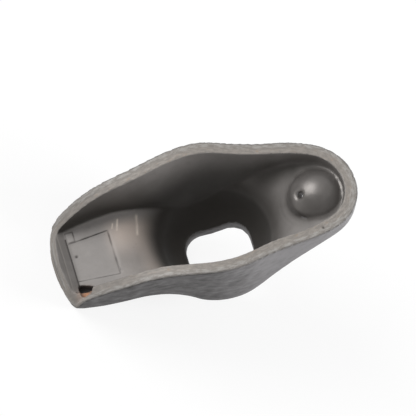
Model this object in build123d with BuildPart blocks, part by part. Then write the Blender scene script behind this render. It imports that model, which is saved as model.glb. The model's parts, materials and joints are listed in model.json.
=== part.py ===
import os
from math import acos, atan2, cos, degrees, hypot, radians, sin, sqrt, tan

from build123d import *

# A stamped-steel rocker arm that pivots on a ball.  It is drawn level, with the centre of the
# ball seat at the origin, the pushrod end at +X and the open side up, and then laid down as it
# comes to rest, on its bowl and its valve tip.

# ---- driving dimensions, millimetres and degrees ----
sheet = 2.6                # blank thickness
seat_radius = 11.8         # inside of the ball seat
floor_height = 4.0         # inside floor of both ends, above the ball centre
neck_radius = 12.0         # inside crest between the floor and the seat
inside_bend = 1.2          # every bend of the sheet, on its inside
outside_bend = 1.8         # and on its outside, coined tighter than the sheet would fold

# the walls wrap round the seat, and narrow from the pivot to the crown and the neck
seat_cheek = 0.6           # the rim stands this far outside the seat
crown_narrowing = 2.0
neck_narrowing = 1.6

# the rim at each station along the arm: outside half width, height, and how far the wall leans out
tip_station, tip_half_width, tip_rim, tip_flare = -33.0, 9.7, 3.9, 1.0
blade_station, blade_half_width, blade_rim, blade_flare = -22.0, 12.1, 11.4, 7.0
crown_station, crown_rim, crown_flare = -14.0, 13.0, 9.0
pivot_station, pivot_rim, pivot_flare = 1.5, 12.0, 6.0
neck_station, neck_rim, neck_flare = 8.0, 10.5, 3.5
waist_station, waist_half_width, waist_rim, waist_flare = 16.0, 11.8, 8.8, 4.0
end_centre, end_radius, end_rim, end_flare = 20.2, 10.35, 6.0, 8.0
end_sweep = 70.0           # the round end turns this far to each side of the arm's axis
tip_pull = 1.4             # the side starts at this many times its mean slope up to the blade
tip_tail = 6.0             # left on past the valve tip until it is trimmed

lip_station = -30.7        # the valve tip is bent up from here
lip_length = 3.15
lip_angle = 30.0
lip_bow = 1.9              # the tip's end is bowed out by this much
lip_bow_width = 18.0

coin_length = 9.0          # flat coined inside the tip, over the valve stem
coin_tip_width = 8.6
coin_width = 10.2
coin_depth = 0.15

slot_station = 0.3         # stud slot, whose middle is this far from the ball centre
slot_width = 11.0
slot_length = 13.8
slot_corner = 4.4

socket_station = 22.0      # pushrod socket
socket_radius = 4.05       # the pushrod's ball end seats in it
socket_crease_radius = 5.4 # where the dome over the socket leaves the floor
socket_wall = 2.2
socket_mouth = 0.8         # flare at the socket's mouth
dome_root = 0.8            # the dome is rooted through this share of the sheet
oil_hole = 1.5
oil_hole_lean = 36.0       # the oil hole leans this far toward the ball

reach = 60.0               # past every face of the arm
wall_low = -20.0           # the walls are ruled between these two heights
wall_high = 16.0
bottom_facing = 0.3        # floor, seat and lip face down more steeply than this, and walls less

# ---- worked out from them ----
pivot_half_width = seat_radius + sheet + seat_cheek
crown_half_width = pivot_half_width - crown_narrowing
neck_half_width = pivot_half_width - neck_narrowing
lip_foot = Vector(lip_station, 0, floor_height)
lip_way = Vector(-cos(radians(lip_angle)), 0, sin(radians(lip_angle)))
lip_normal = Vector(sin(radians(lip_angle)), 0, cos(radians(lip_angle)))
dome_radius = socket_radius + socket_wall
socket_height = floor_height - sqrt(dome_radius**2 - socket_crease_radius**2)
mouth_top = floor_height - sheet + socket_mouth
mouth_radius = sqrt(socket_radius**2 - (mouth_top - socket_height) ** 2)

# at rest one plane touches the edge of the slot's end and the outside of the lip's bend
half_turn = tan(radians(lip_angle / 2))
slot_end = slot_station - slot_length / 2
slot_depth = sqrt((seat_radius + sheet) ** 2 - slot_end**2)
touch_run = slot_end - lip_station - (outside_bend - sheet) * half_turn
touch_rise = floor_height - sheet + outside_bend + slot_depth
rest_angle = degrees(
    acos(outside_bend / hypot(touch_run, touch_rise)) - atan2(touch_run, touch_rise)
)


def side_point(station, half_width, rim, flare, height, skin):
    """Where the wall of a skin stands at one station and height."""
    lean = (height - rim) * tan(radians(flare))
    inset = (sheet - skin) / cos(radians(flare))
    return (station, half_width + lean - inset)


def plan_outline(height, skin):
    """The plan of one skin at one height, left long past the valve tip."""
    sides = [
        side_point(tip_station, tip_half_width, tip_rim, tip_flare, height, skin),
        side_point(blade_station, blade_half_width, blade_rim, blade_flare, height, skin),
        side_point(crown_station, crown_half_width, crown_rim, crown_flare, height, skin),
        side_point(pivot_station, pivot_half_width, pivot_rim, pivot_flare, height, skin),
        side_point(neck_station, neck_half_width, neck_rim, neck_flare, height, skin),
        side_point(waist_station, waist_half_width, waist_rim, waist_flare, height, skin),
    ]
    radius = side_point(end_centre, end_radius, end_rim, end_flare, height, skin)[1]
    turn = radians(end_sweep)
    start = (end_centre + radius * cos(turn), radius * sin(turn))
    taper = (sides[1][1] - sides[0][1]) / (sides[1][0] - sides[0][0])
    with BuildLine() as outline:
        side = Spline(*sides, start, tangents=[(1, taper * tip_pull), (sin(turn), -cos(turn))])
        tail = Line(side @ 0, side @ 0 - (side % 0) * tip_tail)
        mirror(side, about=Plane.XZ)
        mirror(tail, about=Plane.XZ)
        Line(tail @ 1, ((tail @ 1).X, -(tail @ 1).Y))
        ThreePointArc(side @ 1, (end_centre + radius, 0), (start[0], -start[1]))
    return outline.line


def is_corner(edge, bottom):
    """True where floor, seat or lip meets a wall, and not at the cut end of the plan."""
    sides = [face for face in bottom if any(edge.is_same(other) for other in face.edges())]
    return len(sides) == 1 and edge.center().X > tip_station - tip_tail / 2


def pressed_form(skin, bend_radius):
    """The solid that one skin of the pressing closes: 0 is its inside, sheet its outside."""
    crest = neck_radius - skin
    seat = seat_radius + skin
    crest_height = floor_height - neck_radius
    crest_station = sqrt((seat_radius + neck_radius) ** 2 - crest_height**2)
    share = seat / (seat_radius + neck_radius)
    with BuildPart() as form:
        for height in (wall_low, wall_high):
            with BuildSketch(Plane.XY.offset(height)):
                add(plan_outline(height, skin))
                make_face()
        loft(ruled=True)
        # floor, crest and ball seat are one turned surface
        with BuildSketch(Plane.XZ):
            with BuildLine():
                touch = (crest_station * share, crest_height * share)
                crown = (crest_station, crest_height + crest)
                RadiusArc((0, -seat), touch, -seat)
                RadiusArc(touch, crown, crest)
                Polyline(crown, (reach, crown[1]), (reach, reach), (0, reach), (0, -seat))
            make_face()
        revolve(axis=Axis.Z, mode=Mode.INTERSECT)
        # the valve tip is bent up
        lip = Plane(lip_foot - lip_normal * skin, x_dir=lip_way, z_dir=lip_normal)
        with BuildSketch(lip):
            Rectangle(2 * reach, 2 * reach)
        extrude(amount=reach, mode=Mode.INTERSECT)
        bend = form.edges().filter_by(Axis.Y).sort_by_distance(lip_foot)[0]
        fillet(bend, bend_radius)
        # floor, seat and lip turn up into the walls
        bottom = form.faces().filter_by(lambda face: face.normal_at().Z < -bottom_facing)
        fillet([edge for edge in form.edges() if is_corner(edge, bottom)], bend_radius)
    return form.part


with BuildPart() as pressing:
    add(pressed_form(sheet, outside_bend))
    add(pressed_form(0, inside_bend), mode=Mode.SUBTRACT)
    # the rim
    with BuildSketch(Plane.XZ):
        with BuildLine():
            rim = Spline(
                (tip_station, tip_rim),
                (blade_station, blade_rim),
                (crown_station, crown_rim),
                (pivot_station, pivot_rim),
                (neck_station, neck_rim),
                (waist_station, waist_rim),
                (end_centre + end_radius, end_rim),
            )
            Polyline(rim @ 0, (-reach, tip_rim), (-reach, reach), (reach, reach), (reach, end_rim), rim @ 1)
        make_face()
    extrude(amount=reach, both=True, mode=Mode.SUBTRACT)
    # the bowed end of the lip is square to its face
    with BuildSketch(Plane(lip_foot, x_dir=lip_way, z_dir=lip_normal)):
        with BuildLine():
            shoulder = lip_length - lip_bow
            bow = ThreePointArc(
                (shoulder, -lip_bow_width / 2), (lip_length, 0), (shoulder, lip_bow_width / 2)
            )
            Polyline(
                bow @ 0,
                (shoulder, -reach),
                (reach, -reach),
                (reach, reach),
                (shoulder, reach),
                bow @ 1,
            )
        make_face()
    extrude(amount=reach, both=True, mode=Mode.SUBTRACT)
    # coined pad, from the bend inward
    with BuildSketch(Plane.XY.offset(floor_height - coin_depth)):
        with BuildLine():
            coin_start = lip_station + inside_bend * half_turn
            coin_end = coin_start + coin_length
            Polyline(
                (coin_start, -coin_tip_width / 2),
                (coin_end, -coin_width / 2),
                (coin_end, coin_width / 2),
                (coin_start, coin_tip_width / 2),
                close=True,
            )
        make_face()
    extrude(amount=sheet, mode=Mode.SUBTRACT)
    # stud slot
    with BuildSketch():
        with Locations((slot_station, 0)):
            RectangleRounded(slot_length, slot_width, slot_corner)
    extrude(amount=-reach, mode=Mode.SUBTRACT)
    # pushrod socket, pressed up into a dome
    socket_axis = Axis((socket_station, 0, 0), (0, 0, 1))
    with BuildSketch(Plane.XZ):
        with Locations((socket_station, socket_height)):
            Circle(dome_radius)
            Rectangle(2 * reach, 2 * reach, align=(Align.MAX, Align.CENTER), mode=Mode.SUBTRACT)
        with Locations((0, floor_height - sheet * dome_root)):
            Rectangle(2 * reach, 2 * reach, align=(Align.CENTER, Align.MAX), mode=Mode.SUBTRACT)
    revolve(axis=socket_axis)
    with BuildSketch(Plane.XZ):
        with Locations((socket_station, socket_height)):
            Circle(socket_radius)
        with BuildLine():
            Polyline(
                (socket_station, mouth_top),
                (socket_station + mouth_radius, mouth_top),
                (socket_station + socket_radius + socket_mouth, floor_height - sheet),
                (socket_station + socket_radius + socket_mouth, -reach),
                (socket_station, -reach),
                close=True,
            )
        make_face()
        with Locations((socket_station, socket_height)):
            Rectangle(2 * reach, 4 * reach, align=(Align.MAX, Align.CENTER), mode=Mode.SUBTRACT)
    revolve(axis=socket_axis, mode=Mode.SUBTRACT)
    oil_way = (-sin(radians(oil_hole_lean)), 0, cos(radians(oil_hole_lean)))
    with BuildSketch(Plane((socket_station, 0, socket_height), z_dir=oil_way)):
        Circle(oil_hole / 2)
    extrude(amount=dome_radius + sheet, mode=Mode.SUBTRACT)

with BuildPart() as rocker_arm:
    add(pressing.part, rotation=(0, -rest_angle, 0))

os.makedirs("parts", exist_ok=True)
rocker_arm.part.label = "rocker_arm"
export_step(rocker_arm.part, "parts/rocker_arm.step")
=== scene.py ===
"""Looks for a stamped-steel rocker arm: its skin, its metal, the light and the camera."""
import json
from math import cos, radians, sin

import bmesh
import bpy
import numpy as np
from mathutils import Matrix, Vector, noise
from mathutils.bvhtree import BVHTree
from mathutils.kdtree import KDTree


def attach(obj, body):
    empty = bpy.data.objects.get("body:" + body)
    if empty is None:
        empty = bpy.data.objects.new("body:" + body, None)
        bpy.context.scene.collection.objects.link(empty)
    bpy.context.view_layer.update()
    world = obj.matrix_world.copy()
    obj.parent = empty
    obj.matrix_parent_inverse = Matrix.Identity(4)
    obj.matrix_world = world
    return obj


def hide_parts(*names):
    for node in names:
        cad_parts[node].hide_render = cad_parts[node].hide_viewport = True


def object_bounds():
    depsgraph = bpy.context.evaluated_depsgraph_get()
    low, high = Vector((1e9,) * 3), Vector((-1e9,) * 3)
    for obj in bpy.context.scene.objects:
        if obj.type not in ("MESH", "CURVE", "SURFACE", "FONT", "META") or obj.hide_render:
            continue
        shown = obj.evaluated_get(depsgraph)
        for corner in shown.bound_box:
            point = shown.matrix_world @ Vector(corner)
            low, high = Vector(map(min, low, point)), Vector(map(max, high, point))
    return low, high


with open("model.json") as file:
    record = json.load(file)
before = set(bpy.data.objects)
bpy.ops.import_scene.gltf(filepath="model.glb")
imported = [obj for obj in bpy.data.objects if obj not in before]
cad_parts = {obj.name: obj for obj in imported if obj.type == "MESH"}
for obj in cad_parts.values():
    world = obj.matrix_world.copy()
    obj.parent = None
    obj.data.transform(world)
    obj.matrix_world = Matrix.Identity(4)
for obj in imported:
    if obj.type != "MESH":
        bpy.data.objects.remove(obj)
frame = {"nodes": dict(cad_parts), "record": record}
cad_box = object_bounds()

MM = 0.001
IMAGE = 416                     # the picture is square, this many pixels a side

# Sizes are millimetres on the arm drawn level, unless something else is said: the origin is the
# middle of its ball seat, X runs to the pushrod end, Y across it and Z out of its open side.

# ---- camera ----
CAMERA_AT = Vector((-83.87, -550.25, 1202.41))
CAMERA_RIGHT = Vector((0.95986, -0.27402, -0.05979))
CAMERA_UP = Vector((0.27327, 0.86578, 0.41923))
FOCAL_PIXELS = 6380.7
SENSOR = 36.0

# ---- light and floor: metres, along the camera's right, up and back ----
KEY_AT, KEY_SIZE, KEY_POWER = Vector((-0.345, 0.634, 0.484)), 0.60, 6.4
SIDE_AT, SIDE_SIZE, SIDE_POWER = Vector((1.00, -0.02, 0.02)), 0.40, 8.0
SKY_STRENGTH = 0.38
PAPER_SIZE = 3.0
PAPER_COLOUR = (0.9, 0.9, 0.9, 1)
PAPER_ROUGHNESS = 0.9
PAPER_GLOW = 0.85               # this share of what the camera sees of the paper is plain white

# ---- the pressing ----
SHEET = 2.6
FLOOR = 4.0                     # inside floor of both ends
LIP_STATION = -30.7             # the valve tip is bent up outward of here
LIP_ANGLE = radians(30)
LIP_LENGTH = 3.15
LIP_BOW = 0.0235                # its end is bowed out: this, times the square of Y, falls short
LIP_HALF_WIDTH = 9.9
LIP_CUT = 1.0                   # nothing this far out from the bend belongs to the rim
LIP_MENDED = 1.5                # the solid's rim cut trims the lip's end this deep
END_CENTRE = 20.2               # middle of the round end
END_RADIUS = 10.35
DOME_BALL = Vector((22.0, 0, 0.85))     # the dome and the socket in it are round this place,
SOCKET_REACH = 5.2              # and the socket is nearer to it than this
DOME_CREASE = 5.4               # the dome leaves the floor this far from its axis,
DOME_RISE = 3.2                 # and rises less than this
ON_DOME = 0.6                   # a face is on it to this far outside the crease
SLOT_TOP = -7.0                 # the stud slot's walls are all lower
TIP_INNER = -12.0               # the valve tip's floor ends before this station,
END_INNER = 10.0                # and the round end's floor starts after this one
CHANNEL_AXIS_HEIGHT = 9.0       # a line inside the channel, that every wall stands round
CHANNEL_AXIS_ENDS = (-29.0, 20.0)

# ---- the skin's faces ----
VOXEL = 0.36                    # faces of the skin are this long
SNAP = 0.2                      # and a corner this near the pressing's own faces is put on them
FINE_EDGE = 0.7                 # they are half as long this near the sheared rim
TIP_FLOOR = ((-32.5, -7.6, 3.0), (-13.0, 8.6, 6.2))    # and inside the valve tip
RIM_FACING = 0.58               # a face that points this far up, high on the arm, is the rim
RIM_LOW = FLOOR + 0.6           # and the rim is higher than this,
RIM_NEAREST = END_RADIUS - SHEET - 1.0      # and this far off the arm's axis
LIP_END_FACING = (-0.55, 0.2)   # the lip's end points at least this far outward and up
SQUARE = 0.05                   # a face is square to an axis with less than this along it
SHARP = radians(35)             # an edge folded more than this is a sharp one,
BROKEN = (0.35, 0.65)           # and is broken: wholly this near it, and not at all this far off
SHARP_STEP = 0.05               # its distance is measured from places this far apart
ON_SKIN = 0.05                  # a corner this near the inside or the outside is on it
OFF_RIM = (0.0, 0.8)            # a corner is on the rim, and then wholly off it, this far away
KEEPS_SIZE = (0.50, -0.52)      # shares that take out facets and shrink nothing larger:
SKIN_ROUNDS = 40                # this often off the rim,
EDGE_ROUNDS = 16                # and this often near every sharp edge
ROUNDS_OFF = (0.50,)            # shares that round off the sharp edges away from the rim
OFF_ROUNDS = 6

# what part of the sheet a corner is on: the two places between which it changes
SHEARED = (0.02, 0.16)          # how far it is from the sheared faces
INSIDE_SKIN = (0.04, 0.12)      # shares of the sheet, from its inside, as are the next two
TORN_BAND = (0.50, 0.60)
ROLLED_BAND = (0.74, 1.0)
WALL_FACING = (0.5, 0.9)        # how far up a wall points, and a floor
TIP_END = (-26.0, -8.0)         # the stations between which the valve tip ends
NEAR_FLOOR = 0.9                # the floor's marks are this near it

# ---- how deep the marks of the press are ----
TORN_DEPTH = 0.07
TORN_WANDER = 0.14              # the torn band's edge strays by this share of the sheet
ROLLED_DEPTH = 0.16
GRAIN_DEPTH = 0.035             # of the torn band's grain
LUMP_DEPTH = 0.08               # of the skin's broad waves
SKIN_DEPTH = 0.010              # of its fine unevenness

# ---- coined pad inside the valve tip, and the small raised step beside it ----
PAD = ((-30.6, 4.35), (-21.7, 5.1), (-21.7, -5.1), (-30.6, -4.35))
PAD_STEP = ((-30.4, 4.6), (-28.8, 4.6), (-28.8, 6.9), (-30.4, 6.9))
STEP_HEIGHT = 0.10
SCORE_WIDTH, SCORE_DEPTH = 0.11, 0.13
SCORE_DRIFT = 0.05              # a score strays this far from its line
STEP_SHARE = 0.7                # the step's scores are this much as deep as the pad's
BEND_LINE_AT = LIP_STATION + 0.1
BEND_LINE_HALF_LENGTH = 5.6
BEND_LINE_WIDTH, BEND_LINE_DEPTH = 0.16, 0.12

# ---- the corner that tore open as the near wall was folded up, and its chipped edge ----
TEAR = ((-30.9, -5.2), (-26.6, -6.8), (-29.0, -7.2), (-30.9, -7.4))
TEAR_FLOOR = 2.1
CHIP = ((-31.0, -7.0), (-28.0, -7.3), (-28.7, -9.3), (-30.6, -9.1))
CHIP_FLOOR = 5.0
CUT_TOP = 10.0                  # both cuts are open above
RUST_MIDDLE = (-29.6, -8.2, 4.8)
RUST_REACH = 1.5
RUST_THROUGH = (0.80, 0.92)     # it stops at these shares of the sheet, from its inside

# ---- small marks: two ends of each scratch and how wide it is, and the middle of each pit ----
SCRATCHES = (
    ((-19.1, 6.9), (-19.8, 4.6), 0.16),
    ((-20.3, 6.3), (-20.7, 5.2), 0.12),
    ((-15.0, 7.2), (-15.9, 3.2), 0.22),
)
SCRATCH_DEPTH = 0.02
PITS = ((-29.4, 1.2, 3.9), (20.9, -9.5, 7.5), (30.3, 0.7, 6.0))
PIT_RADIUS, PIT_DEPTH = 0.26, 0.20

# ---- the dome's foot ----
CREASE_WIDTH, CREASE_FILL = 0.70, 0.32
DOME_EDGE = (5.0, 6.2)          # it ends between these distances from its axis
PUNCH_RINGS = (5.6, 6.2, 8.3)   # faint rings begin, are whole and end at these
PUNCH_RING_TURN = 7.0           # radians of their wave in a millimetre
PUNCH_RING_DEPTH = 0.02

# ---- oil and painted shade: none at the first of two places and all of it at the second, and how much is all ----
OILED_AND_SHADED_WALL = (-13.5, 0.0)       # oil and painted shade on the walls, darker toward their foot: how far down from the ball's middle
# the bowl: oil, and painted shade deeper in its hollow
OILED_AND_SHADED_BOWL = (0.0, 4.5)
WALL_DARKENING_FADES, WALL_DARKENING_GONE = (0.0, 12.0), 0.25       # stations, and the share of the walls' darkening that is gone
OILED_END, END_OIL = (8.0, 12.0), 0.22              # stations
SHADED_FOOT, FOOT_SHADE = (4.0, 8.0), 0.68             # painted shadow of the far wall on the pushrod end's floor: across, toward that wall
BESIDE_DOME, BESIDE_WIDTH = 6.2, 1.6                # painted shade on the floor in a ring this far from the dome's axis
BESIDE_ENDS, BESIDE_SHADE = (18.5, 21.0), 0.35        # stations between which it ends
DOME_OIL = 0.45
# painted shade on the lip's inner face
LIP_SHADE = 0.33
TIP_WALL_OIL_AND_SHADE = 0.5                   # oil and painted shade on the valve tip's walls

# ---- wear: the stations, or places across, between which it begins or ends ----
RUBBED_START = (-24.0, -19.0)
RUBBED_END = (-10.5, -6.5)
RUBBED_FAR = (4.5, 8.0)
RUBBED_NEAR, NEAR_UNRUBBED = (-3.0, 4.0), 0.85      # this share is missing on the near side,
RUBBED_ACROSS = (-18.0, -12.5)                      # until these stations
WORN_AND_LIT = (-8.0, 12.0)                                 # the outside is paler from here on: partly worn, partly painted light


def level_to_frame():
    """The matrix from the level arm's millimetres to the frame's metres."""
    seat = next(m for m in frame["record"]["mounts"] if m["name"] == "fulcrum_seat")
    out = Vector(seat["axis"]).normalized()
    across = Vector((0, 1, 0))
    turn = Matrix((across.cross(out), across, out)).transposed().to_4x4()
    return Matrix.Translation(seat["pos_m"]) @ turn @ Matrix.Scale(MM, 4)


LEVEL = level_to_frame()


# ---- small helpers on arrays, one value for each vertex ----
def ramp(value, low, high):
    """0 below low, 1 above high, smooth between."""
    share = np.clip((value - low) / (high - low), 0.0, 1.0)
    return share * share * (3 - 2 * share)


def ridge(distance, width):
    """1 where distance is 0, falling to nothing about two widths away."""
    return np.exp(-((distance / width) ** 2))


def fractal(points, scale, octaves=3, seed=0, stretch=(1, 1, 1)):
    """Noise of about -1 to 1, whose largest lumps are scale millimetres across."""
    shift = Vector((seed * 17.3, seed * 9.1, seed * 5.7))
    spread = points / (np.array(stretch) * scale)
    return np.array([noise.fractal(Vector(p) + shift, 1.0, 2.0, octaves) for p in spread])


def distance_to_tree(tree, points):
    return np.array([tree.find_nearest(Vector(p))[3] for p in points])


def smooth_out(mesh, points, free, shares):
    """Draws each point toward its neighbours' middle, or off it, by each share in turn."""
    ends = np.array([edge.vertices for edge in mesh.edges])
    count = np.bincount(ends.ravel(), minlength=len(points))[:, None]
    for share in shares:
        total = np.zeros_like(points)
        for axis in range(3):
            for near, far in ((0, 1), (1, 0)):
                weight = points[ends[:, far], axis]
                total[:, axis] += np.bincount(ends[:, near], weight, len(points))
        points += share * free[:, None] * (total / count - points)


def put_on_trees(trees, points):
    """Moves each point that is a little off the pressing's faces onto the nearest one."""
    for i, point in enumerate(points):
        near = [tree.find_nearest(Vector(point), SNAP) for tree in trees.values()]
        near = [hit for hit in near if hit[0] is not None]
        if near:
            points[i] = min(near, key=lambda hit: hit[3])[0]


def sharp_edges(mesh):
    """A search tree of places along the mesh's sharp edges."""
    work = bmesh.new()
    work.from_mesh(mesh)
    places = []
    for edge in work.edges:
        if edge.calc_face_angle(0) > SHARP:
            start, end = (v.co for v in edge.verts)
            steps = int(edge.calc_length() / SHARP_STEP) + 1
            places += [start.lerp(end, i / steps) for i in range(steps + 1)]
    work.free()
    tree = KDTree(len(places))
    for i, place in enumerate(places):
        tree.insert(place, i)
    tree.balance()
    return tree


def distance_to_line(points, start, end):
    """In plan, how far each point is from a straight line between two places."""
    start, end = np.array(start), np.array(end)
    way = end - start
    share = np.clip((points[:, :2] - start) @ way / (way @ way), 0, 1)
    return np.linalg.norm(points[:, :2] - start - share[:, None] * way, axis=1)


def distance_to_path(points, corners):
    return np.min([distance_to_line(points, a, b) for a, b in zip(corners, corners[1:])], axis=0)


def inside_outline(points, corners):
    """True inside a convex outline whose corners go round to the left."""
    turns = []
    for (ax, ay), (bx, by) in zip(corners, corners[1:] + corners[:1]):
        turns.append((bx - ax) * (points[:, 1] - ay) - (by - ay) * (points[:, 0] - ax))
    return np.all(np.array(turns) > 0, axis=0)


# ---- the pressing's shape ----
def kind_of(centre, normal):
    """Which skin of the sheet a face is on, or that it is sheared."""
    on_lip = centre.x < LIP_STATION and normal.x > 0 or centre.x < LIP_STATION - LIP_CUT
    cut_along = normal.z > RIM_FACING and abs(normal.y) < SQUARE and not on_lip
    off_axis = Vector((max(centre.x - END_CENTRE, 0), centre.y)).length
    on_rim = cut_along and centre.z > RIM_LOW and off_axis > RIM_NEAREST
    outward, upward = LIP_END_FACING
    on_lip_end = centre.x < LIP_STATION and normal.x < outward and normal.z > upward
    if on_rim or on_lip_end:
        return "sheared"
    low, high = CHANNEL_AXIS_ENDS
    core = Vector((min(max(centre.x, low), high), 0, CHANNEL_AXIS_HEIGHT))
    faces_out = (centre - core).dot(normal) > 0
    in_socket = (centre - DOME_BALL).length < SOCKET_REACH
    in_slot = centre.z < SLOT_TOP and abs(normal.z) < SQUARE
    off_dome = (centre.xy - DOME_BALL.xy).length - DOME_CREASE
    on_dome = off_dome < ON_DOME and centre.z > FLOOR - SNAP
    return "outside" if in_socket or in_slot or faces_out and not on_dome else "inside"


def sort_faces(mesh):
    """One search tree each for the inside skin, the outside skin and the sheared edges."""
    sorts = {"inside": [], "outside": [], "sheared": []}
    for face in mesh.polygons:
        sorts[kind_of(face.center, face.normal)].append(list(face.vertices))
    points = [v.co.copy() for v in mesh.vertices]
    return {name: BVHTree.FromPolygons(points, faces) for name, faces in sorts.items()}


def prism(corners, low, high, place=Matrix()):
    """A closed solid that stands on an outline."""
    work = bmesh.new()
    base = work.faces.new([work.verts.new((x, y, low)) for x, y in corners])
    side = bmesh.ops.extrude_face_region(work, geom=[base])["geom"]
    top = [v for v in side if isinstance(v, bmesh.types.BMVert)]
    bmesh.ops.translate(work, verts=top, vec=(0, 0, high - low))
    bmesh.ops.recalc_face_normals(work, faces=work.faces)
    mesh = bpy.data.meshes.new("prism")
    work.to_mesh(mesh)
    work.free()
    mesh.transform(place)
    return bpy.data.objects.new("prism", mesh)


def lip_end():
    """The upper part of the lip's bowed end."""
    way = Vector((-cos(LIP_ANGLE), 0, sin(LIP_ANGLE)))
    out = Vector((sin(LIP_ANGLE), 0, cos(LIP_ANGLE)))
    foot = Matrix.Translation((LIP_STATION, 0, FLOOR))
    place = foot @ Matrix((way, out.cross(way), out)).transposed().to_4x4()
    across = np.linspace(-LIP_HALF_WIDTH, LIP_HALF_WIDTH, 13)
    bow = [(LIP_LENGTH - LIP_BOW * y**2, y) for y in across]
    return prism([(0, across[0]), *bow, (0, across[-1])], -LIP_MENDED, 0, place)


def combine(piece, other, how):
    """Joins another solid to a piece, or cuts it out."""
    bpy.context.scene.collection.objects.link(other)
    step = piece.modifiers.new(how, "BOOLEAN")
    step.operation = how
    step.solver = "EXACT"
    step.object = other
    bake(piece)
    bpy.data.objects.remove(other)


def bake(piece):
    """Makes a piece's modifiers its own shape."""
    graph = bpy.context.evaluated_depsgraph_get()
    shaped = bpy.data.meshes.new_from_object(piece.evaluated_get(graph))
    piece.modifiers.clear()
    piece.data = shaped


def refine(mesh, trees):
    """Halves the faces near the sheared rim and inside the valve tip."""
    low, high = TIP_FLOOR
    work = bmesh.new()
    work.from_mesh(mesh)
    edges = []
    for edge in work.edges:
        middle = (edge.verts[0].co + edge.verts[1].co) / 2
        in_tip = all(a < m < b for a, m, b in zip(low, middle, high))
        if in_tip or trees["sheared"].find_nearest(middle, FINE_EDGE)[0] is not None:
            edges.append(edge)
    bmesh.ops.subdivide_edges(work, edges=edges, cuts=1, use_grid_fill=True)
    work.to_mesh(mesh)
    work.free()


def fine_copy(node, name):
    """A copy of a CAD node, level and in millimetres, with small even faces.

    With it come the search trees of its faces and of its sharp edges.
    """
    mesh = node.data.copy()
    mesh.transform(LEVEL.inverted())
    work = bmesh.new()
    work.from_mesh(mesh)
    bmesh.ops.remove_doubles(work, verts=work.verts, dist=1e-4)
    work.to_mesh(mesh)
    work.free()
    piece = bpy.data.objects.new(name, mesh)
    bpy.context.scene.collection.objects.link(piece)
    combine(piece, lip_end(), "UNION")
    trees = sort_faces(piece.data)
    combine(piece, prism(TEAR, TEAR_FLOOR, CUT_TOP), "DIFFERENCE")
    combine(piece, prism(CHIP, CHIP_FLOOR, CUT_TOP), "DIFFERENCE")
    sharp = sharp_edges(piece.data)
    remesh = piece.modifiers.new("remesh", "REMESH")
    remesh.mode = "VOXEL"
    remesh.voxel_size = VOXEL
    bake(piece)
    refine(piece.data, trees)
    return piece, trees, sharp


def read(mesh, what, width):
    values = np.empty(len(mesh.vertices) * width)
    mesh.vertices.foreach_get(what, values)
    return values.reshape(-1, width)


def store(mesh, name, values, kind="FLOAT"):
    attribute = mesh.attributes.new(name, kind, "POINT")
    field = "value" if kind == "FLOAT" else "vector"
    attribute.data.foreach_set(field, np.ascontiguousarray(values, dtype=np.float32).ravel())


# ---- the skin ----
def settle(mesh, trees, sharp):
    """Puts the corners on the pressing, and breaks its sharp edges.

    Returns the corners, and how far each was from the inside, the outside and the sheared faces.
    """
    points = read(mesh, "co", 3)
    put_on_trees(trees, points)
    inner, outer, edge = (
        distance_to_tree(trees[name], points) for name in ("inside", "outside", "sheared")
    )
    off_rim = ramp(edge, *OFF_RIM)
    on_skin = np.minimum(inner, outer) < ON_SKIN
    smooth_out(mesh, points, off_rim * on_skin, KEEPS_SIZE * SKIN_ROUNDS)
    broken = 1 - ramp(np.array([sharp.find(point)[2] for point in points]), *BROKEN)
    smooth_out(mesh, points, broken, KEEPS_SIZE * EDGE_ROUNDS)
    smooth_out(mesh, points, broken * off_rim, ROUNDS_OFF * OFF_ROUNDS)
    mesh.vertices.foreach_set("co", points.ravel())
    mesh.update()
    return points, inner, outer, edge


class Skin:
    """What is known of each corner of the skin, and what each mark does to it."""

    def __init__(self, mesh, trees, sharp):
        self.points, inner, outer, edge = settle(mesh, trees, sharp)
        self.normals = read(mesh, "normal", 3)
        self.x, self.y, self.z = self.points.T
        self.through = inner / (inner + outer + 1e-6)
        self.sheared = 1 - ramp(edge, *SHEARED)
        self.inside = 1 - ramp(self.through, *INSIDE_SKIN)
        self.on_wall = 1 - ramp(self.normals[:, 2], *WALL_FACING)
        self.at_tip = 1 - ramp(self.x, *TIP_END)
        self.ring = np.hypot(self.x - DOME_BALL.x, self.y - DOME_BALL.y)
        self.at_dome = self.inside * (self.x > END_INNER) * (self.z < FLOOR + DOME_RISE)
        self.dome = self.at_dome * (1 - ramp(self.ring, *DOME_EDGE))
        self.band = self.along_the_rim()
        self.move = np.zeros(len(self.points))      # how far out of the sheet each corner goes
        self.fields = {"inside": self.inside, "sheared": self.sheared, "dome": self.dome}

    def along_the_rim(self):
        """Where a corner is along the rim and through the sheet."""
        turn = np.arctan2(self.x - END_CENTRE, abs(self.y))
        along = np.where(self.x > END_CENTRE, END_CENTRE + END_RADIUS * turn, self.x)
        along *= np.sign(self.y + 1e-6)
        return np.c_[along, self.through * SHEET, np.zeros(len(along))]

    def near(self, places, width):
        """1 in the middle of each of the places, in plan, and nothing two widths away."""
        found = np.zeros(len(self.x))
        for x, y, z in places:
            spot = ridge(np.hypot(self.x - x, self.y - y), width) * (abs(self.z - z) < 1.0)
            found = np.maximum(found, spot)
        return found


def wave(skin):
    """Pressed sheet is never quite even."""
    lumps = fractal(skin.points, 8.0, 2, seed=1)
    fine = fractal(skin.points, 1.0, 3, seed=2) * (1 - skin.sheared) * (1 - 0.6 * skin.inside)
    skin.move += LUMP_DEPTH * lumps + SKIN_DEPTH * fine


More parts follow.
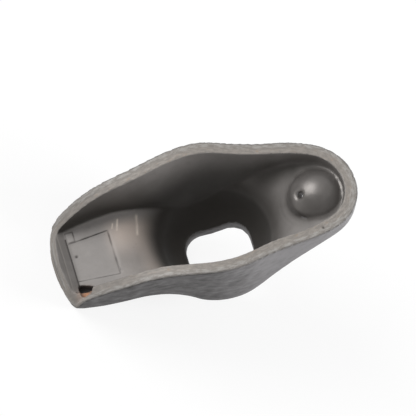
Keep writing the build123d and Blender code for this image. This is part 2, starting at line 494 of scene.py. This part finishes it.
def shear(skin):
    """The shear leaves a rolled outer edge, a smooth band and a torn, lower one."""
    wander = TORN_WANDER * fractal(skin.band, 5.0, 4, seed=4, stretch=(1, 9, 1))
    torn = 1 - ramp(skin.through + wander, *TORN_BAND)
    rolled = ramp(skin.through, *ROLLED_BAND) ** 2
    grain = fractal(skin.band, 0.9, 4, seed=3, stretch=(2.2, 0.5, 1))
    cut = GRAIN_DEPTH * grain * (0.3 + torn) - TORN_DEPTH * torn - ROLLED_DEPTH * rolled
    skin.move += skin.sheared * cut
    skin.fields["torn"] = torn * skin.sheared
    skin.fields["rolled"] = np.maximum(rolled, 0.35 * skin.at_tip) * skin.sheared


def fading(skin, scale, seed, least):
    """A mark comes and goes along its line, from its least share to 1."""
    return least + (1 - least) * ramp(fractal(skin.points, scale, 2, seed), -0.3, 0.2)


def score(skin):
    """Scores round the coined pad and the small step beside it, the bend line and the pits."""
    on_floor = skin.inside * (abs(skin.z - FLOOR) < NEAR_FLOOR) * (skin.x < TIP_INNER)
    drift = SCORE_DRIFT * fractal(skin.points, 1.5, 2, seed=6)
    pad = ridge(distance_to_path(skin.points, PAD) + drift, SCORE_WIDTH)
    step = ridge(distance_to_path(skin.points, PAD_STEP + PAD_STEP[:1]) + drift, SCORE_WIDTH)
    scores = on_floor * np.maximum(pad, STEP_SHARE * step) * fading(skin, 3.0, 7, 0.55)
    on_bend = (abs(skin.y) < BEND_LINE_HALF_LENGTH) * (skin.z < FLOOR + 1)
    bend_line = skin.inside * on_bend * ridge(skin.x - BEND_LINE_AT, BEND_LINE_WIDTH)
    pits = skin.near(PITS, PIT_RADIUS)
    skin.move += STEP_HEIGHT * on_floor * inside_outline(skin.points, PAD_STEP)
    skin.move -= SCORE_DEPTH * scores + BEND_LINE_DEPTH * bend_line + PIT_DEPTH * pits
    # the material darkens these marks: painted shade in the grooves and pits
    skin.fields["score"] = np.max([scores, bend_line, pits], axis=0)


def scratch(skin):
    """Bright scratches on the tip's floor."""
    lines = [ridge(distance_to_line(skin.points, a, b), width) for a, b, width in SCRATCHES]
    on_floor = skin.inside * (skin.z < FLOOR + NEAR_FLOOR)
    marks = np.max(lines, axis=0) * on_floor * fading(skin, 1.5, 8, 0.6)
    skin.move -= SCRATCH_DEPTH * marks
    skin.fields["marks"] = marks


def foot_of_the_dome(skin):
    """The crease round the dome is filled, and the punch leaves faint rings outside it."""
    filled = skin.at_dome * ridge(skin.ring - DOME_CREASE, CREASE_WIDTH)
    start, whole, end = PUNCH_RINGS
    shown = skin.at_dome * ramp(skin.ring, start, whole) * (skin.ring < end)
    rings = shown * np.sin((skin.ring - DOME_CREASE) * PUNCH_RING_TURN)
    skin.move += CREASE_FILL * filled + PUNCH_RING_DEPTH * rings


def oil(skin):
    """Oil and painted shade darken the bowl and the walls; oil dulls the pushrod end's floor, and
    painted shade darkens it further toward the far wall and beside the dome, and darkens the lip.
    """
    # the walls: oil and painted shade, darker toward their foot and in the valve tip
    walls = np.minimum(ramp(-skin.z, *OILED_AND_SHADED_WALL) + TIP_WALL_OIL_AND_SHADE * skin.at_tip, 1)
    walls *= skin.on_wall * (1 - WALL_DARKENING_GONE * ramp(skin.x, *WALL_DARKENING_FADES))
    # painted shade in a ring beside the dome
    beside = ridge(skin.ring - BESIDE_DOME, BESIDE_WIDTH) * (1 - ramp(skin.x, *BESIDE_ENDS))
    # painted shade on the pushrod end's floor, toward the far wall and in a ring beside the dome
    floors = END_OIL + FOOT_SHADE * ramp(skin.y, *SHADED_FOOT) + BESIDE_SHADE * beside
    floors = np.maximum(ramp(skin.x, *OILED_END) * floors, DOME_OIL * skin.dome)
    floors *= 1 - skin.on_wall
    # the bowl: oil and painted shade, darker deeper down
    bowl = ramp(-skin.z, *OILED_AND_SHADED_BOWL)
    # painted shade on the lip
    lip = LIP_SHADE * (skin.x < LIP_STATION)
    skin.fields["oil"] = skin.inside * np.max([walls + floors, bowl, lip], axis=0)


def wear_and_light(skin):
    """The tip's floor is rubbed bright, least on its near side, and the outside is paler toward the
    round end: partly worn, partly painted light.
    """
    rubbed = ramp(skin.x, *RUBBED_START) * (1 - ramp(skin.x, *RUBBED_END))
    rubbed *= 1 - ramp(skin.y, *RUBBED_FAR)
    near_side = (1 - ramp(skin.y, *RUBBED_NEAR)) * (1 - ramp(skin.x, *RUBBED_ACROSS))
    rubbed *= 1 - NEAR_UNRUBBED * near_side
    skin.fields["rubbed"] = skin.inside * (1 - skin.on_wall) * rubbed
    # paler toward the round end: partly wear, partly painted light
    skin.fields["worn"] = (1 - skin.inside) * ramp(skin.x, *WORN_AND_LIT)


def rust(skin):
    """The chipped corner has rusted, inside the arm."""
    spots = ramp(fractal(skin.points, 0.9, 3, seed=9), -0.8, 0.0)
    distance = np.linalg.norm(skin.points - np.array(RUST_MIDDLE), axis=1)
    rusted = ridge(distance, RUST_REACH) * spots
    skin.fields["rust"] = rusted * (1 - ramp(skin.through, *RUST_THROUGH))


def press_skin(node):
    """The arm as it is seen: the CAD node's shape, with the marks of its making and use."""
    piece, trees, sharp = fine_copy(node, "pressing")
    mesh = piece.data
    skin = Skin(mesh, trees, sharp)
    for work in (wave, shear, score, scratch, foot_of_the_dome, oil, wear_and_light, rust):
        work(skin)
    store(mesh, "level", skin.points, "FLOAT_VECTOR")
    store(mesh, "band", skin.band, "FLOAT_VECTOR")
    for name, values in skin.fields.items():
        store(mesh, name, values)
    moved = skin.points + skin.normals * skin.move[:, None]
    mesh.vertices.foreach_set("co", moved.ravel())
    mesh.polygons.foreach_set("use_smooth", np.ones(len(mesh.polygons), bool))
    mesh.transform(LEVEL)
    corners = np.clip(read(mesh, "co", 3), *cad_box)
    mesh.vertices.foreach_set("co", corners.ravel())
    mesh.update()
    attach(piece, "root")
    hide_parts("rocker_arm")
    return piece


# ---- the metal ----
class Recipe:
    """A material put together node by node."""

    def __init__(self, name):
        self.material = bpy.data.materials.new(name)
        self.material.use_nodes = True
        self.tree = self.material.node_tree
        self.shader = self.tree.nodes["Principled BSDF"]

    def node(self, kind, output=0, settings=(), **inputs):
        """Adds a node, sets it up, feeds its inputs and returns one of its outputs."""
        new = self.tree.nodes.new("ShaderNode" + kind)
        for name, value in dict(settings).items():
            setattr(new, name, value)
        for name, value in inputs.items():
            self.feed(new.inputs[name.replace("_", " ")], value)
        return new.outputs[output]

    def feed(self, socket, value):
        if isinstance(value, bpy.types.NodeSocket):
            self.tree.links.new(value, socket)
        else:
            socket.default_value = value

    def field(self, name):
        """A number that the skin's corners hold."""
        return self.node("Attribute", 2, {"attribute_name": name})

    def place(self, name, stretch):
        """Where a point is, drawn out along the three ways."""
        spot = self.node("Attribute", 1, {"attribute_name": name})
        scale = tuple(1 / s for s in stretch)
        return self.node("Mapping", Vector=spot, Scale=scale)

    def noise(self, name, scale, detail=4.0, stretch=(1, 1, 1), roughness=0.55):
        """Noise of 0 to 1, whose largest lumps are scale millimetres across."""
        where = self.place(name, [s * scale for s in stretch])
        return self.node(
            "TexNoise", Vector=where, Scale=1.0, Detail=detail, Roughness=roughness
        )

    def ramp(self, value, low, high, out_low=0.0, out_high=1.0):
        """The first level below low, the second above high, smooth between."""
        new = self.tree.nodes.new("ShaderNodeMapRange")
        new.interpolation_type = "SMOOTHSTEP"
        self.feed(new.inputs["Value"], value)
        for name, level in zip(
            ("From Min", "From Max", "To Min", "To Max"), (low, high, out_low, out_high)
        ):
            new.inputs[name].default_value = level
        return new.outputs[0]

    def times(self, first, second):
        return self.math("MULTIPLY", first, second)

    def math(self, how, first, second):
        new = self.tree.nodes.new("ShaderNodeMath")
        new.operation = how
        self.feed(new.inputs[0], first)
        self.feed(new.inputs[1], second)
        return new.outputs[0]

    def mix(self, share, first, second):
        """The first colour where the share is 0, and the second where it is 1."""
        new = self.tree.nodes.new("ShaderNodeMix")
        new.data_type = "RGBA"
        self.feed(new.inputs[0], share)
        for socket, colour in ((new.inputs[6], first), (new.inputs[7], second)):
            self.feed(socket, colour if isinstance(colour, bpy.types.NodeSocket) else (*colour, 1))
        return new.outputs[2]


METALLIC = 0.20
DOME_METALLIC = 0.55            # the dome is pressed smooth,
DOME_SMOOTHER = 0.22            # and less rough than the rest by this much
SPECULAR = 0.35
ROUGHNESS = (0.56, 0.66)
BUMP_STRENGTH = 0.35
BUMP_HEIGHT = 0.00005
INSIDE = (0.290, 0.273, 0.262)
INSIDE_DARK = (0.245, 0.230, 0.219)
RUBBED_BRIGHT = (0.500, 0.430, 0.385)
OIL_AND_SHADE_BLACK = (0.040, 0.036, 0.031)
OUTSIDE = (0.052, 0.049, 0.048)
OUTSIDE_PALE = (0.235, 0.228, 0.233)
BURNISHED = (0.370, 0.355, 0.335)
FRACTURE = (0.320, 0.293, 0.266)
RIM_DARK = (0.250, 0.230, 0.211)
TAN = (0.310, 0.235, 0.175)
SCRATCHED = (0.78, 0.70, 0.62)
RUST = (0.450, 0.225, 0.125)
GRIME_AND_SHADE = (0.030, 0.026, 0.023)


def inside_colour(r, cloud):
    """Clean grey, rubbed bright in the valve tip, and black where oil has baked on and where shade
    is painted.
    """
    clean = r.mix(r.ramp(cloud, 0.36, 0.66), INSIDE_DARK, INSIDE)
    rubbed = r.mix(r.field("rubbed"), clean, RUBBED_BRIGHT)
    # black for oil and for painted shade inside the arm
    return r.mix(r.times(r.field("oil"), 0.9), rubbed, OIL_AND_SHADE_BLACK)


def outside_colour(r, streaks):
    """Dark scale, scuffed paler, and paler toward the round end: partly wear, partly painted light.
    """
    scuffed = r.math("ADD", r.times(streaks, 0.5), r.times(r.field("worn"), 0.26))
    return r.mix(r.ramp(scuffed, 0.10, 0.58), OUTSIDE, OUTSIDE_PALE)


def edge_colour(r):
    """The sheared rim: a burnished band, a torn one, and scale on the rolled edge."""
    tint = r.ramp(r.noise("band", 1.2, 5, (2, 1, 1)), 0.54, 0.72)
    edge = r.mix(r.field("torn"), BURNISHED, r.mix(tint, FRACTURE, TAN))
    grain = r.ramp(r.noise("band", 0.6, 7, (2.5, 0.8, 1), 0.68), 0.40, 0.62)
    edge = r.mix(grain, RIM_DARK, edge)
    return r.mix(r.times(r.field("rolled"), 0.7), edge, OUTSIDE)


def steel():
    """Oiled pressed steel: dark in the bowl with oil and painted shade, grey scale outside, torn
    bright metal on its edges.
    """
    r = Recipe("steel")
    cloud = r.noise("level", 5.0, 4)
    speckle = r.noise("level", 0.35, 3)
    streaks = r.noise("level", 1.4, 5, stretch=(1.6, 1.2, 1), roughness=0.55)

    colour = r.mix(r.field("inside"), outside_colour(r, streaks), inside_colour(r, cloud))
    colour = r.mix(r.field("sheared"), colour, edge_colour(r))
    # random dark specks of grime
    colour = r.mix(r.ramp(speckle, 0.62, 0.78, 0.0, 0.20), colour, GRIME_AND_SHADE)
    colour = r.mix(r.field("marks"), colour, SCRATCHED)
    colour = r.mix(r.field("rust"), colour, RUST)
    # painted shade: the scores, the bend line and the pits are darkened
    colour = r.mix(r.field("score"), colour, GRIME_AND_SHADE)
    r.feed(r.shader.inputs["Base Color"], colour)

    dome = r.field("dome")
    rough = r.math("SUBTRACT", r.ramp(cloud, 0.3, 0.7, *ROUGHNESS), r.times(dome, DOME_SMOOTHER))
    r.feed(r.shader.inputs["Roughness"], rough)
    r.feed(r.shader.inputs["Metallic"], r.ramp(dome, 0, 1, METALLIC, DOME_METALLIC))
    r.feed(r.shader.inputs["Specular IOR Level"], SPECULAR)

    height = r.math("ADD", r.times(speckle, 0.6), r.times(streaks, 0.2))
    relief = r.node("Bump", Strength=BUMP_STRENGTH, Distance=BUMP_HEIGHT, Height=height)
    r.feed(r.shader.inputs["Normal"], relief)
    return r.material


# ---- camera, light and floor ----
def add_camera():
    """Adds the camera, and returns the turn from its right, up and back to the frame's axes."""
    data = bpy.data.cameras.new("camera")
    data.sensor_width = SENSOR
    data.lens = FOCAL_PIXELS / IMAGE * data.sensor_width
    data.clip_start = 0.05
    data.clip_end = 50.0
    camera = bpy.data.objects.new("camera", data)
    bpy.context.scene.collection.objects.link(camera)
    turn = LEVEL.to_3x3()
    right = (turn @ CAMERA_RIGHT).normalized()
    back = right.cross(turn @ CAMERA_UP).normalized()
    facing = Matrix((right, back.cross(right), back)).transposed()
    camera.matrix_world = Matrix.Translation(LEVEL @ CAMERA_AT) @ facing.to_4x4()
    bpy.context.scene.camera = camera
    return facing


def add_lamp(name, at, size, power):
    """A square lamp that looks at the arm."""
    data = bpy.data.lights.new(name, "AREA")
    data.shape = "SQUARE"
    data.size = size
    data.energy = power
    lamp = bpy.data.objects.new(name, data)
    bpy.context.scene.collection.objects.link(lamp)
    lamp.location = at
    lamp.rotation_euler = (-at).to_track_quat("-Z", "Y").to_euler()


def add_sky():
    """Even white light from all round."""
    world = bpy.data.worlds.new("world")
    bpy.context.scene.world = world
    world.use_nodes = True
    sky = world.node_tree.nodes["Background"]
    sky.inputs["Color"].default_value = (1, 1, 1, 1)
    sky.inputs["Strength"].default_value = SKY_STRENGTH


def paper():
    """Near white to the camera, and still shaded where the arm stands."""
    r = Recipe("floor_white")
    r.shader.inputs["Base Color"].default_value = PAPER_COLOUR
    r.shader.inputs["Roughness"].default_value = PAPER_ROUGHNESS
    glow = r.node("Emission", Strength=1.0)
    seen = r.node("LightPath", "Is Camera Ray")
    for ray in ("Is Glossy Ray", "Is Transmission Ray"):
        seen = r.math("MAXIMUM", seen, r.node("LightPath", ray))
    mixed = r.node("MixShader", Fac=r.times(seen, PAPER_GLOW))
    r.tree.links.new(r.shader.outputs[0], mixed.node.inputs[1])
    r.tree.links.new(glow, mixed.node.inputs[2])
    r.tree.links.new(mixed, r.tree.nodes["Material Output"].inputs[0])
    return r.material


facing = add_camera()
add_lamp("key", facing @ KEY_AT, KEY_SIZE, KEY_POWER)
add_lamp("side", facing @ SIDE_AT, SIDE_SIZE, SIDE_POWER)
add_sky()

pressing = press_skin(frame["nodes"]["rocker_arm"])
pressing.data.materials.clear()
pressing.data.materials.append(steel())

bpy.ops.mesh.primitive_plane_add(size=PAPER_SIZE, location=(0, 0, cad_box[0][2]))
floor = bpy.context.object
floor.name = "floor"
floor.data.materials.append(paper())

bpy.context.scene.view_settings.view_transform = "Standard"
